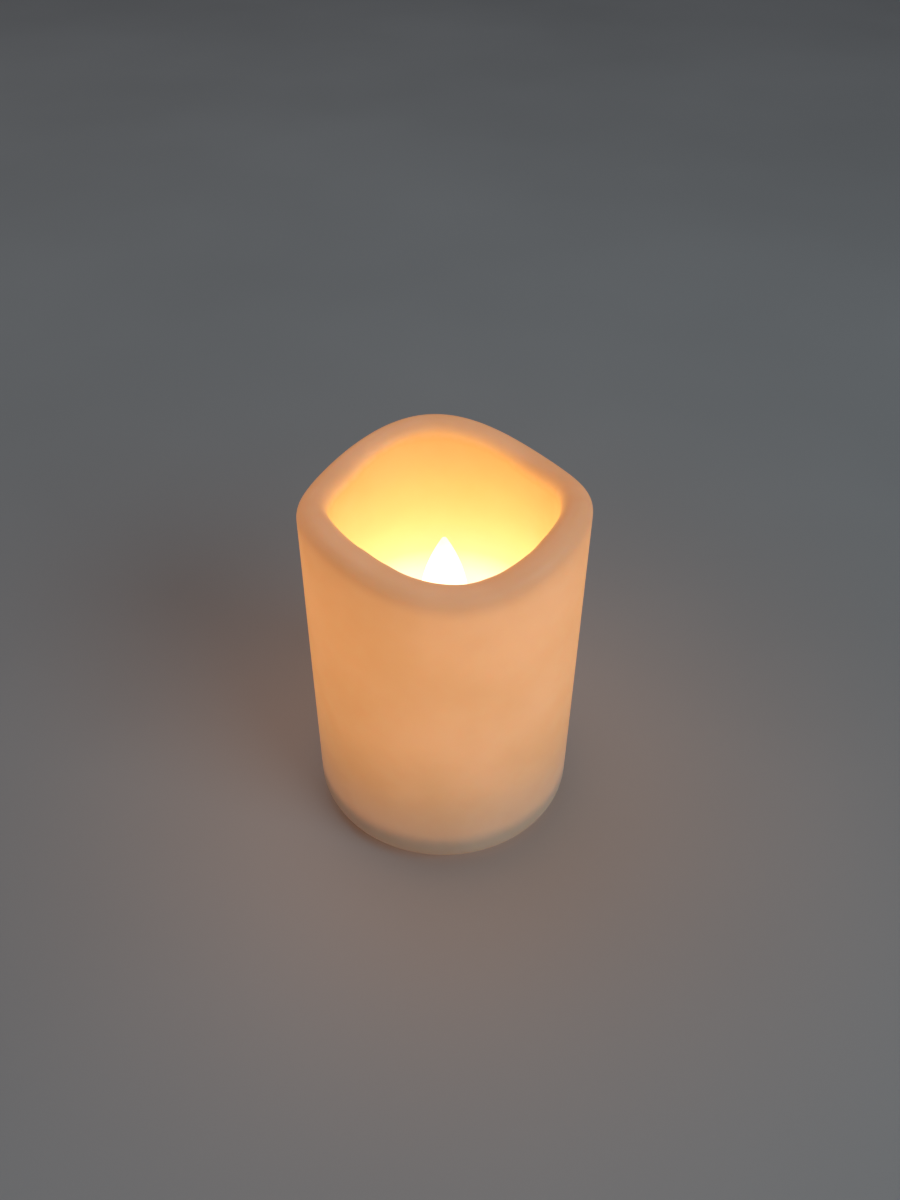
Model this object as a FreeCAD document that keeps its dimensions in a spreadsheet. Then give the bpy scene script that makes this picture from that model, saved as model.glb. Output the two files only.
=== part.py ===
import FreeCAD, Part
import Sketcher
import math
import os
import re

# Flameless LED candle: a wax shell over a battery base, with a lamp on a stalk inside it.
# Millimetres. The origin is the centre of the base on the table, +Z is up and -Y is the front.

V = FreeCAD.Vector
UP = V(0, 0, 1)
TOUCH = 0.01  # places nearer than this are the same place
os.makedirs("parts", exist_ok=True)
doc = FreeCAD.newDocument("FlamelessCandle")

SIZES = {
    # how pieces meet: joined pieces run into each other, tools run past the faces they open
    "lap": 0.2,
    "past": 1.0,
    "play": 0.3,
    # wax shell
    "candle_radius": 37.5,
    "rim_height": 103.0,
    "rim_wave": 3.0,
    "rim_wave_count": 3,
    "rim_tool_outer": 45.0,
    "rim_tool_inner": 21.0,
    "mouth_radius": 29.2,
    "bore_radius": 30.6,
    "lip_outer_round": 3.8,
    "lip_inner_round": 3.4,
    "foot_round": 6.0,
    "shell_lift": 0.4,
    "seat_radius": 31.0,
    "seat_height": 26.8,
    # base unit
    "base_radius": 30.6,
    "base_wall": 1.4,
    "base_top": 24.6,
    "plate_bottom": 0.8,
    "plate_top": 2.8,
    "rib_count": 8,
    "rib_root": 29.8,
    "rib_radius": 31.05,
    "rib_half_width": 0.6,
    "rib_end": 2.0,
    "boss_radius": 2.6,
    "post_radius": 2.0,
    "pilot_radius": 1.0,
    "pilot_depth": 7.0,
    "board_pilot_radius": 0.8,
    # raised marks beside the switch slot
    "mark_offset": 7.5,
    "mark_half_width": 0.35,
    "mark_radius": 1.3,
    "mark_hole": 0.75,
    "mark_proud": 0.3,
    # cover, with a socket for the stalk's foot
    "cover_radius": 30.4,
    "cover_top": 26.6,
    "cover_hole_radius": 1.5,
    "socket_radius": 10.3,
    "socket_depth": 0.6,
    "collar_radius": 11.6,
    "collar_height": 2.4,
    # screws
    "screw_circle": 25.5,
    "screw_slot_half": 0.25,
    "screw_slot_share": 0.6,
    "cover_screw_head": 2.4,
    "cover_screw_shank": 0.98,
    "cover_screw_length": 7.0,
    "board_screw_head": 1.8,
    "board_screw_shank": 0.78,
    "board_screw_length": 3.2,
    # battery bay
    "bay_half_length": 24.9,
    "bay_half_width": 16.6,
    "bay_circle": 28.2,
    "bay_ceiling": 14.4,
    "bay_roof": 1.4,
    "bay_skin": 1.0,
    "bay_wall": 1.2,
    # cells
    "cell_radius": 5.25,
    "cell_length": 44.5,
    "cell_edge": 0.4,
    "cell_nub_radius": 1.9,
    "cell_nub_length": 0.8,
    "cell_pitch": 10.8,
    "cell_height": 8.7,
    # contacts
    "contact_thick": 0.4,
    "contact_half_height": 4.0,
    "contact_bump": 0.8,
    "contact_bump_radius": 1.6,
    "contact_outer": 13.0,
    "contact_inner": 6.3,
    "link_inner": 4.5,
    "tab_half_width": 1.4,
    "tab_rise": 4.2,
    "tab_play": 0.1,
    "coil_radius": 2.1,
    "coil_wire_radius": 0.35,
    "coil_turns": 3,
    # battery door
    "door_thick": 1.8,
    "door_far_end": 25.5,
    "door_near_end": 22.6,
    "door_half_width": 17.0,
    "door_circle": 28.5,
    "hinge_reach": 24.8,
    "hinge_half_width": 12.4,
    "stub_radius": 0.6,
    "stub_length": 1.1,
    "socket_play": 0.06,
    "latch_length": 9.0,
    "latch_offset": 4.6,
    "latch_gap_half": 0.3,
    "nib_half_width": 2.4,
    "nib_proud": 0.2,
    "nib_thick": 0.5,
    "grip_count": 4,
    "grip_start": 2.5,
    "grip_width": 0.7,
    "grip_pitch": 1.6,
    "grip_half_width": 3.4,
    "grip_proud": 0.35,
    # slide switch
    "switch_back": 23.6,
    "switch_half_length": 6.3,
    "switch_half_width": 2.9,
    "switch_height": 3.5,
    "switch_sheet": 0.4,
    "switch_base_thick": 1.0,
    "switch_travel": 5.0,
    "clip_gap": 0.1,
    "clip_half": 0.6,
    "clip_half_width": 2.6,
    "clip_rise": 0.8,
    "pin_pitch": 3.0,
    "pin_half_width": 0.6,
    "pin_half_thick": 0.25,
    "pin_height": 2.2,
    "knob_half_width": 1.2,
    "knob_foot": 0.35,
    "groove_pitch": 0.7,
    "groove_half": 0.15,
    "groove_depth": 0.25,
    "slider_half_length": 2.7,
    "slider_half_width": 2.1,
    "slider_lift": 0.15,
    "slider_top": 2.0,
    # stalk
    "stem_radius": 6.5,
    "stem_bore": 5.0,
    "stem_top": 62.0,
    "stem_foot_radius": 10.1,
    "stem_foot_rise": 1.4,
    "stem_flare": 6.0,
    "stem_floor": 1.6,
    "spigot_radius": 5.2,
    "lead_hole_radius": 1.9,
    # lamp and flame
    "flame_tip": 89.7,
    "flame_swell": 7.0,
    "flame_wall": 1.1,
    "led_radius": 2.5,
    "led_flange": 0.4,
    "led_flange_height": 1.0,
    "led_height": 8.6,
    "led_base": 63.0,
    "lead_offset": 1.27,
    "lead_half": 0.25,
    "lead_length": 17.0,
    "sleeve_radius": 0.95,
    "sleeve_bore": 0.62,
    "sleeve_high": 6.0,
    "sleeve_low": 20.0,
    # circuit board and what stands on it
    "board_bottom": 17.4,
    "board_top": 19.0,
    "board_half_length": 17.0,
    "board_half_width": 11.0,
    "board_hole_x": 14.0,
    "board_hole_y": 8.0,
    "board_hole_radius": 1.0,
    "chip_x": -6.0,
    "chip_y": -4.5,
    "chip_half_length": 2.5,
    "chip_half_width": 2.0,
    "chip_lift": 0.15,
    "chip_top": 1.6,
    "chip_leg_pitch": 1.27,
    "chip_leg_half": 0.2,
    "chip_leg_reach": 1.1,
    "chip_leg_thick": 0.35,
    "crystal_x": -1.0,
    "crystal_y": 7.2,
    "crystal_radius": 1.0,
    "crystal_length": 6.0,
    "crystal_leg_radius": 0.15,
    "crystal_leg_gap": 0.5,
    "crystal_leg_length": 1.5,
    "can_x": 10.0,
    "can_y": 0.5,
    "can_radius": 2.0,
    "can_height": 5.0,
    "can_bead": 0.2,
    "resistor_x": 4.0,
    "resistor_y": -8.6,
    "resistor_pitch": 3.0,
    "resistor_width": 1.25,
    "resistor_length": 2.0,
    "resistor_height": 0.5,
    # wires
    "hookup_radius": 0.6,
    "led_wire_radius": 0.5,
}
BACK_SCREW = 90
SCREW_ANGLES = (BACK_SCREW, 225, 315)  # the cover's screws, in degrees from +X

sheet = doc.addObject("Spreadsheet::Sheet", "Sizes")
for row, (alias, size) in enumerate(SIZES.items(), start=1):
    sheet.set(f"A{row}", alias)
    sheet.set(f"B{row}", str(size))
    sheet.setAlias(f"B{row}", alias)
doc.recompute()

nodes = {}


def linked(expression):
    """The same expression with the sheet's name put before each alias."""
    def full_name(word):
        return "Sizes." + word[0] if word[0] in SIZES else word[0]

    return re.sub(r"[a-z][a-z0-9_]*", full_name, str(expression))


def bind(thing, **expressions):
    for place, expression in expressions.items():
        thing.setExpression(place.replace("__", "."), linked(expression))
    return thing


def value(expression):
    return float(sheet.evalExpression(linked(expression)))


def place(thing, x=0, y=0, z=0):
    return bind(thing, Placement__Base__x=x, Placement__Base__y=y, Placement__Base__z=z)


def box(name, x0, x1, y0, y1, z0, z1):
    """A block between two values on each axis."""
    block = doc.addObject("Part::Box", name)
    bind(block, Length=f"({x1}) - ({x0})", Width=f"({y1}) - ({y0})", Height=f"({z1}) - ({z0})")
    return place(block, x0, y0, z0)


def block_about(name, x, y, half_x, half_y, z0, z1):
    """A block centred on x, y."""
    return box(name, f"({x}) - ({half_x})", f"({x}) + ({half_x})",
               f"({y}) - ({half_y})", f"({y}) + ({half_y})", z0, z1)


def rod(name, radius, z0, z1, x=0, y=0):
    """An upright cylinder from z0 to z1."""
    round_bar = doc.addObject("Part::Cylinder", name)
    bind(round_bar, Radius=radius, Height=f"({z1}) - ({z0})")
    return place(round_bar, x, y, z0)


def lying(name, radius, length, axis, x, y, z):
    """A cylinder that starts at x, y, z and runs along axis."""
    bar = doc.addObject("Part::Cylinder", name)
    bar.Placement.Rotation = FreeCAD.Rotation(UP, axis)
    bind(bar, Radius=radius, Height=length)
    return place(bar, x, y, z)


def fuse(name, *pieces):
    joined = doc.addObject("Part::MultiFuse", name)
    joined.Shapes = list(pieces)
    joined.Refine = True
    return joined


def common(name, *pieces):
    shared = doc.addObject("Part::MultiCommon", name)
    shared.Shapes = list(pieces)
    return shared


def cut(name, base, *tools):
    tool = tools[0] if len(tools) == 1 else fuse(name + "Tools", *tools)
    left = doc.addObject("Part::Cut", name)
    left.Base = base
    left.Tool = tool
    return left


def group(name, pieces):
    """Separate solids that make one sub-part."""
    together = doc.addObject("Part::Compound", name)
    together.Links = pieces
    return together


def shaped(name, shape):
    """A sub-part or tool whose shape is worked out here."""
    made = doc.addObject("Part::Feature", name)
    made.Shape = shape
    return made


def node(label, thing):
    thing.Label = label
    nodes[label] = thing
    return thing


def plane(body, role):
    return [feature for feature in body.Origin.OriginFeatures if feature.Role == role][0]


def outline(body, name, points):
    """A closed polygon sketch in the XZ plane; every corner is held by two expressions."""
    sketch = body.newObject("Sketcher::SketchObject", name)
    sketch.AttachmentSupport = [(plane(body, "XZ_Plane"), "")]
    sketch.MapMode = "FlatFace"
    corners = [V(value(across), value(up), 0) for across, up in points]
    count = len(corners)
    for index in range(count):
        sketch.addGeometry(Part.LineSegment(corners[index], corners[(index + 1) % count]))
    for index in range(count):
        sketch.addConstraint(Sketcher.Constraint("Coincident", index, 2, (index + 1) % count, 1))
    for index, (across, up) in enumerate(points):
        corner = corners[index]
        for kind, expression, level in (("DistanceX", across, corner.x), ("DistanceY", up, corner.y)):
            held = sketch.addConstraint(Sketcher.Constraint(kind, -1, 1, index, 1, level))
            sketch.renameConstraint(held, f"{kind}{index}")
            sketch.setExpression(f"Constraints.{kind}{index}", linked(expression))
    return sketch


def turned(name, points, axis="V_Axis"):
    """A body made by turning an outline about the sketch's own axis."""
    body = doc.addObject("PartDesign::Body", name)
    sketch = outline(body, name + "Outline", points)
    spin = body.newObject("PartDesign::Revolution", name + "Turn")
    spin.Profile = sketch
    spin.ReferenceAxis = (sketch, [axis])
    spin.Angle = 360
    body.Tip = spin
    doc.recompute()
    return body


def rounded(body, name, radius, test):
    """Round the body's edges that pass the test."""
    base = body.Tip
    picked = [f"Edge{index}" for index, edge in enumerate(base.Shape.Edges, start=1) if test(edge)]
    softened = body.newObject("PartDesign::Fillet", name)
    softened.Base = (base, picked)
    bind(softened, Radius=radius)
    body.Tip = softened
    doc.recompute()
    return body


def polar(radius, degrees):
    """Two expressions for a place on a circle."""
    angle = math.radians(degrees)
    return f"({radius}) * {math.cos(angle):.6f}", f"({radius}) * {math.sin(angle):.6f}"


def clipped(name, x0, x1, half_width, circle, z0, z1):
    """A rectangular block whose corners are cut off by a circle about the candle's axis."""
    block = box(name + "Block", x0, x1, f"-({half_width})", half_width, z0, z1)
    disc = rod(name + "Disc", circle, z0, z1)
    return common(name, block, disc)


def rim_tool():
    """The block above the lip: a wavy ruled face between two closed curves, carried upwards."""
    stations = 36
    waves = int(value("rim_wave_count"))
    edges = []
    for radius in (value("rim_tool_outer"), value("rim_tool_inner")):
        points = []
        for station in range(stations):
            angle = 2 * math.pi * station / stations
            height = value("rim_height") + value("rim_wave") * math.cos(waves * (angle - math.pi / 2))
            points.append(V(radius * math.cos(angle), radius * math.sin(angle), height))
        curve = Part.BSplineCurve()
        curve.interpolate(Points=points, PeriodicFlag=True)
        edges.append(curve.toShape())
    return Part.makeRuledSurface(*edges).extrude(V(0, 0, value("6 * rim_wave")))


def make_shell():
    """Thick wax wall; its lip rises and falls in three slow waves."""
    blank_top = "rim_height + 4 * rim_wave"
    shell = turned("ShellBlank", [
        ("seat_radius", "shell_lift"),
        ("candle_radius", "shell_lift"),
        ("candle_radius", blank_top),
        ("mouth_radius", blank_top),
        ("bore_radius", "seat_height"),
        ("seat_radius", "seat_height"),
    ])
    lift = value("shell_lift")
    outside = value("candle_radius")
    rounded(shell, "ShellFoot", "foot_round",
            lambda edge: edge.BoundBox.ZMax < lift + TOUCH and edge.BoundBox.XMax > outside - TOUCH)
    trimmed = cut("ShellTrimmed", shell, shaped("RimTool", rim_tool()))
    doc.recompute()
    lip = doc.addObject("Part::Fillet", "ShellLip")
    lip.Base = trimmed
    middle = (value("mouth_radius") + outside) / 2
    rounds = []
    for index, edge in enumerate(trimmed.Shape.Edges, start=1):
        start = edge.valueAt(edge.FirstParameter)
        if edge.Closed and start.z > value("rim_height - 2 * rim_wave"):
            outer = math.hypot(start.x, start.y) > middle
            size = value("lip_outer_round" if outer else "lip_inner_round")
            rounds.append((index, size, size))
    lip.Edges = rounds
    node("wax_shell", lip)


def housing_tub():
    """The round wall, which stands on its own lower edge, and the plate a little above it."""
    inside = "base_radius - base_wall"
    return turned("HousingTub", [
        ("0", "plate_bottom"),
        (inside, "plate_bottom"),
        (inside, "0"),
        ("base_radius", "0"),
        ("base_radius", "base_top"),
        (inside, "base_top"),
        (inside, "plate_top"),
        ("0", "plate_top"),
    ])


def crush_ribs():
    """Low upright ribs round the tub that grip the wax."""
    count = int(value("rib_count"))
    ribs = []
    for index in range(count):
        degrees = (index + 0.5) * 360 / count
        rib = box(f"CrushRib{index}", "rib_root", "rib_radius", "-rib_half_width", "rib_half_width",
                  "rib_end", "base_top - rib_end")
        rib.Placement.Rotation = FreeCAD.Rotation(UP, degrees)
        out_x, out_y = polar("rib_root", degrees)
        side_x, side_y = polar("rib_half_width", degrees - 90)
        ribs.append(place(rib, f"{out_x} + {side_x}", f"{out_y} + {side_y}", "rib_end"))
    return ribs


def housing_posts():
    """Bosses for the cover's screws, and four posts under the circuit board."""
    posts = []
    for index, degrees in enumerate(SCREW_ANGLES):
        x, y = polar("screw_circle", degrees)
        low = "plate_top - lap" if degrees == BACK_SCREW else "bay_ceiling + 2 * lap"
        posts.append(rod(f"CoverBoss{index}", "boss_radius", low, "base_top", x, y))
    for index, (side, back) in enumerate(((-1, 1), (1, 1), (-1, -1), (1, -1))):
        posts.append(rod(f"BoardPost{index}", "post_radius", "bay_ceiling + bay_roof - lap", "board_bottom",
                         f"{side} * board_hole_x", f"{back} * board_hole_y"))
    return posts


def switch_clips():
    """A wall at each end of the slide switch."""
    clips = []
    for side in (-1, 1):
        middle = f"{side} * (switch_half_length + clip_gap + clip_half)"
        clips.append(block_about(f"SwitchClip{side + 1}", middle, "-switch_back", "clip_half",
                                 "clip_half_width", "plate_top - lap",
                                 "plate_top + switch_height + clip_rise"))
    return clips


def switch_marks():
    """A raised bar at one end of the slot and a raised ring at the other."""
    low = "plate_bottom - mark_proud"
    high = "plate_bottom + lap"
    bar = block_about("MarkBar", "-mark_offset", "-switch_back", "mark_half_width", "mark_radius", low, high)
    disc = rod("MarkDisc", "mark_radius", low, high, "mark_offset", "-switch_back")
    hole = rod("MarkHole", "mark_hole", f"{low} - past", f"{high} + past", "mark_offset", "-switch_back")
    return [bar, cut("MarkRing", disc, hole)]


def bay_and_door_recess():
    """What is taken out for the cells, the door and the door's hinge stubs."""
    low = "plate_bottom - past"
    socket_reach = "hinge_half_width + stub_length + lap"
    return [
        clipped("BayInside", "-bay_half_length", "bay_half_length", "bay_half_width", "bay_circle",
                low, "bay_ceiling"),
        clipped("DoorRecess", "-(door_near_end + play)", "door_far_end + play", "door_half_width + play",
                "door_circle + play", low, "plate_top"),
        box("HingeRecess", "-(hinge_reach + door_thick / 2 + play)", "-door_near_end",
            "-(hinge_half_width + play)", "hinge_half_width + play", low, "plate_top"),
        lying("HingeSockets", "stub_radius + socket_play", f"2 * ({socket_reach})", V(0, 1, 0),
              "-hinge_reach", f"-({socket_reach})", "plate_bottom + door_thick / 2"),
    ]


def housing_openings():
    """The knob's slot, the screws' pilot holes and two slots for the solder tabs."""
    openings = [block_about("KnobSlot", 0, "-switch_back", "switch_travel / 2 + knob_half_width + play",
                            "knob_half_width + play", "plate_bottom - past", "plate_top + past")]
    for index, degrees in enumerate(SCREW_ANGLES):
        x, y = polar("screw_circle", degrees)
        openings.append(rod(f"CoverPilot{index}", "pilot_radius", "base_top - pilot_depth",
                            "base_top + past", x, y))
    for side in (-1, 1):
        openings.append(rod(f"BoardPilot{side + 1}", "board_pilot_radius", "bay_ceiling + bay_skin",
                            "board_bottom + past", f"{side} * board_hole_x", "board_hole_y"))
        tab_middle = f"{side} * (bay_half_length - contact_thick / 2 - tab_play / 2)"
        openings.append(block_about(f"TabSlot{side + 1}", tab_middle, f"{-side} * cell_pitch",
                                    "contact_thick / 2 + 1.5 * tab_play", "tab_half_width + play",
                                    "bay_ceiling - past", "bay_ceiling + bay_roof + past"))
    return openings


def make_housing():
    """Round tub with the battery bay, the door's recess, the switch slot, bosses and posts."""
    bay_outside = clipped("BayOutside", "-(bay_half_length + bay_wall)", "bay_half_length + bay_wall",
                          "bay_half_width + bay_wall", "bay_circle + bay_wall", "plate_bottom + lap",
                          "bay_ceiling + bay_roof")
    body = fuse("HousingBody", housing_tub(), bay_outside, *crush_ribs(), *housing_posts(),
                *switch_clips(), *switch_marks())
    node("base_housing", cut("BaseHousing", body, *bay_and_door_recess(), *housing_openings()))


def make_cover():
    """Lid of the base unit with the socket for the stalk."""
    cover = turned("CoverDisc", [
        ("stem_bore", "base_top"),
        ("cover_radius", "base_top"),
        ("cover_radius", "cover_top"),
        ("collar_radius", "cover_top"),
        ("collar_radius", "cover_top + collar_height"),
        ("socket_radius", "cover_top + collar_height"),
        ("socket_radius", "cover_top - socket_depth"),
        ("stem_bore", "cover_top - socket_depth"),
    ])
    holes = []
    for index, degrees in enumerate(SCREW_ANGLES):
        x, y = polar("screw_circle", degrees)
        holes.append(rod(f"CoverHole{index}", "cover_hole_radius", "base_top - past",
                         "cover_top + past", x, y))
    node("housing_cover", cut("HousingCover", cover, *holes))


def pan_screw(name, kind, x, y, seat):
    """Pan head screw with a cross slot, its head standing on seat."""
    head = f"{kind}_head"
    arm = f"{head} * screw_slot_share"
    slot_floor = f"{seat} + {head} / 4"
    slot_top = f"{seat} + {head}"
    body = fuse(name + "Body",
                rod(name + "Head", head, seat, f"{seat} + {head} / 2", x, y),
                rod(name + "Shank", f"{kind}_shank", f"{seat} - {kind}_length", f"{seat} + lap", x, y))
    return cut(name, body,
               block_about(name + "SlotAlong", x, y, arm, "screw_slot_half", slot_floor, slot_top),
               block_about(name + "SlotAcross", x, y, "screw_slot_half", arm, slot_floor, slot_top))


def make_screws():
    cover_screws = []
    for index, degrees in enumerate(SCREW_ANGLES):
        x, y = polar("screw_circle", degrees)
        cover_screws.append(pan_screw(f"CoverScrew{index}", "cover_screw", x, y, "cover_top"))
    node("cover_screws", group("CoverScrews", cover_screws))
    board_screws = []
    for side in (-1, 1):
        board_screws.append(pan_screw(f"BoardScrew{side + 1}", "board_screw", f"{side} * board_hole_x",
                                      "board_hole_y", "board_top"))
    node("board_screws", group("BoardScrews", board_screws))


def make_stem():
    """Hollow stalk: a foot that sits in the cover's socket, the tube and the spigot under the lamp."""
    foot = "cover_top - socket_depth"
    node("flame_stem", turned("FlameStem", [
        ("stem_bore", foot),
        ("stem_foot_radius", foot),
        ("stem_foot_radius", "cover_top + stem_foot_rise"),
        ("stem_radius", "cover_top + stem_flare"),
        ("stem_radius", "stem_top"),
        ("spigot_radius", "stem_top"),
        ("spigot_radius", "led_base"),
        ("lead_hole_radius", "led_base"),
        ("lead_hole_radius", "led_base - stem_floor"),
        ("stem_bore", "led_base - stem_floor"),
    ]))


def flame_curve(inset):
    """Half outline of the flame, from its foot up to the rounded tip, moved in by inset."""
    tip = value("flame_tip") - inset
    foot = value("stem_top")
    swell = value("flame_swell") - inset
    foot_lean = V(0.12, 0, 1)
    # share of the height, share of the widest radius
    shares = ((0.0, 0.93), (0.2, 1.0), (0.39, 0.92), (0.53, 0.81), (0.66, 0.67), (0.78, 0.49),
              (0.89, 0.3), (0.965, 0.15))
    points = [V(swell * wide, 0, foot + (tip - foot) * up) for up, wide in shares]
    points.append(V(0, 0, tip))
    curve = Part.BSplineCurve()
    curve.interpolate(Points=points, InitialTangent=foot_lean, FinalTangent=V(-1, 0, 0))
    return curve


def make_diffuser():
    """Hollow flame of frosted plastic that slips over the spigot."""
    centre = V(0, 0, value("stem_top"))
    solids = []
    for inset in (0.0, value("flame_wall")):
        curve = flame_curve(inset)
        low = curve.value(curve.FirstParameter)
        top = curve.value(curve.LastParameter)
        sides = [curve.toShape(), Part.makeLine(top, centre), Part.makeLine(centre, low)]
        face = Part.Face(Part.Wire(Part.__sortEdges__(sides)))
        solids.append(face.revolve(V(0, 0, 0), UP, 360))
    node("flame_diffuser", shaped("FlameDiffuser", solids[0].cut(solids[1])))


def make_led():
    """Round lamp with a flange and a domed top."""
    lamp = turned("LedBody", [
        ("0", "led_base"),
        ("led_radius + led_flange", "led_base"),
        ("led_radius + led_flange", "led_base + led_flange_height"),
        ("led_radius", "led_base + led_flange_height"),
        ("led_radius", "led_base + led_height"),
        ("0", "led_base + led_height"),
    ])
    top = value("led_base + led_height")
    rounded(lamp, "LedDome", "led_radius * 0.98",
            lambda edge: edge.Closed and edge.BoundBox.ZMin > top - TOUCH)
    node("led_body", lamp)


def make_leads():
    """The lamp's two square legs, and a sleeve over the end of each."""
    legs = []
    sleeves = []
    for side in (-1, 1):
        x = f"{side} * lead_offset"
        legs.append(block_about(f"LedLeg{side + 1}", x, 0, "lead_half", "lead_half",
                                "led_base - lead_length", "led_base"))
        tube = rod(f"SleeveTube{side + 1}", "sleeve_radius", "led_base - sleeve_low",
                   "led_base - sleeve_high", x)
        hole = rod(f"SleeveHole{side + 1}", "sleeve_bore", "led_base - sleeve_low - past",
                   "led_base - sleeve_high + past", x)
        sleeves.append(cut(f"Sleeve{side + 1}", tube, hole))
    node("led_leads", group("LedLeads", legs))
    node("lead_sleeves", group("LeadSleeves", sleeves))


def make_board():
    """Circuit board with two screw holes."""
    blank = box("BoardBlank", "-board_half_length", "board_half_length", "-board_half_width",
                "board_half_width", "board_bottom", "board_top")
    holes = [rod(f"BoardHole{side + 1}", "board_hole_radius", "board_bottom - past", "board_top + past",
                 f"{side} * board_hole_x", "board_hole_y")
             for side in (-1, 1)]
    node("circuit_board", cut("CircuitBoard", blank, *holes))


def make_chip():
    """Timer chip: a body with a row of four legs on each long side."""
    pieces = [block_about("ChipBody", "chip_x", "chip_y", "chip_half_length", "chip_half_width",
                          "board_top + chip_lift", "board_top + chip_top")]
    for index in range(4):
        for side in (-1, 1):
            x = f"chip_x + {index - 1.5} * chip_leg_pitch"
            y = f"chip_y + {side} * (chip_half_width + chip_leg_reach / 2 - lap / 2)"
            pieces.append(block_about(f"ChipLeg{index}{side + 1}", x, y, "chip_leg_half",
                                      "chip_leg_reach / 2 + lap / 2",
                                      "board_top", "board_top + chip_leg_thick"))
    node("timer_chip", fuse("TimerChip", *pieces))


def make_crystal():
    """Crystal in a round can that lies down, with two bent legs."""
    height = "board_top + crystal_radius"
    leg_end = "crystal_x - crystal_leg_length"
    pieces = [lying("CrystalCan", "crystal_radius", "crystal_length", V(1, 0, 0),
                    "crystal_x", "crystal_y", height)]
    for side in (-1, 1):
        y = f"crystal_y + {side} * crystal_leg_gap"
        pieces.append(lying(f"CrystalLeg{side + 1}", "crystal_leg_radius", "crystal_leg_length + lap",
                            V(1, 0, 0), leg_end, y, height))
        pieces.append(rod(f"CrystalFoot{side + 1}", "crystal_leg_radius", "board_top",
                          f"{height} + crystal_leg_radius", f"{leg_end} + crystal_leg_radius", y))
    node("timer_crystal", fuse("TimerCrystal", *pieces))


def make_capacitor():
    """Upright can with a rolled bead near its foot."""
    can = turned("CapacitorCan", [
        ("0", "board_top"),
        ("can_radius - can_bead", "board_top"),
        ("can_radius", "board_top + 2 * can_bead"),
        ("can_radius - can_bead", "board_top + 4 * can_bead"),
        ("can_radius", "board_top + 6 * can_bead"),
        ("can_radius", "board_top + can_height - can_bead"),
        ("can_radius - can_bead", "board_top + can_height"),
        ("0", "board_top + can_height"),
    ])
    node("capacitor", place(can, "can_x", "can_y"))


def make_resistors():
    """Three flat chip resistors in a row."""
    chips = []
    for index in range(3):
        x = f"resistor_x + {index} * resistor_pitch"
        chips.append(box(f"Resistor{index}", x, f"{x} + resistor_width", "resistor_y",
                         "resistor_y + resistor_length", "board_top", "board_top + resistor_height"))
    node("resistors", group("Resistors", chips))


def make_switch():
    """Slide switch over the slot in the base plate: a folded frame, its base and four pins."""
    floor = "plate_top"
    roof = "plate_top + switch_height"
    base_top = f"{roof} + switch_base_thick"
    shell = block_about("SwitchShell", 0, "-switch_back", "switch_half_length", "switch_half_width",
                        floor, roof)
    room = block_about("SwitchRoom", 0, "-switch_back", "switch_half_length - switch_sheet",
                       "switch_half_width - switch_sheet", f"{floor} + switch_sheet", f"{roof} + past")
    slot = block_about("SwitchSlot", 0, "-switch_back", "switch_travel / 2 + knob_half_width + lap",
                       "knob_half_width + lap", f"{floor} - past", f"{floor} + past")
    node("switch_frame", cut("SwitchFrame", shell, room, slot))
    node("switch_base", block_about("SwitchBase", 0, "-switch_back", "switch_half_length",
                                    "switch_half_width", roof, base_top))
    pins = [block_about(f"SwitchPin{index}", f"{index - 1.5} * pin_pitch", "-switch_back", "pin_half_width",
                        "pin_half_thick", base_top, f"{base_top} + pin_height")
            for index in range(4)]
    node("switch_terminals", group("SwitchTerminals", pins))


def make_knob():
    """Slider with a lever through the slot; it stands at the left end of its travel."""
    left = "-switch_travel / 2"
    lever = block_about("KnobLever", left, "-switch_back", "knob_half_width", "knob_half_width",
                        "knob_foot", "plate_top + past")
    slider = block_about("KnobSlider", left, "-switch_back", "slider_half_length", "slider_half_width",
                         "plate_top + switch_sheet + slider_lift", "plate_top + slider_top")
    grooves = [block_about(f"KnobGroove{side + 1}", f"{left} + {side} * groove_pitch", "-switch_back",
                           "groove_half", "knob_half_width + past",
                           "knob_foot - past", "knob_foot + groove_depth")
               for side in (-1, 0, 1)]
    node("switch_knob", cut("SwitchKnob", fuse("KnobBody", lever, slider), *grooves))


def door_grips():
    """Raised bars for a finger, near the latch end."""
    grips = []
    for index in range(int(value("grip_count"))):
        start = f"grip_start + {index} * grip_pitch"
        grips.append(box(f"DoorGrip{index}", f"door_far_end - ({start} + grip_width)",
                         f"door_far_end - ({start})", "-grip_half_width", "grip_half_width",
                         "plate_bottom - grip_proud", "plate_bottom + lap"))
    return grips


def make_door():
    """Battery door: clipped plate, hinge barrel with two stubs, latch tongue and finger grips."""
    low = "plate_bottom"
    high = "plate_bottom + door_thick"
    axis_height = "plate_bottom + door_thick / 2"
    plate = clipped("DoorPlate", "-door_near_end", "door_far_end", "door_half_width", "door_circle",
                    low, high)
    arm = box("DoorArm", "-hinge_reach", "-door_near_end + past", "-hinge_half_width", "hinge_half_width",
              low, high)
    barrel = lying("DoorBarrel", "door_thick / 2", "2 * hinge_half_width", V(0, 1, 0), "-hinge_reach",
                   "-hinge_half_width", axis_height)
    stubs = lying("DoorStubs", "stub_radius", "2 * (hinge_half_width + stub_length)", V(0, 1, 0),
                  "-hinge_reach", "-(hinge_half_width + stub_length)", axis_height)
    nib = box("DoorNib", "door_far_end - past", "door_far_end + nib_proud", "-nib_half_width",
              "nib_half_width", f"{high} - nib_thick - lap", f"{high} - lap")
    slots = [box(f"DoorSlot{side + 1}", "door_far_end - latch_length", "door_far_end + past",
                 f"{side} * latch_offset - latch_gap_half", f"{side} * latch_offset + latch_gap_half",
                 f"{low} - past", f"{high} + past")
             for side in (-1, 1)]
    body = fuse("DoorBody", plate, arm, barrel, stubs, nib, *door_grips())
    node("battery_door", cut("BatteryDoor", body, *slots))


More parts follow.
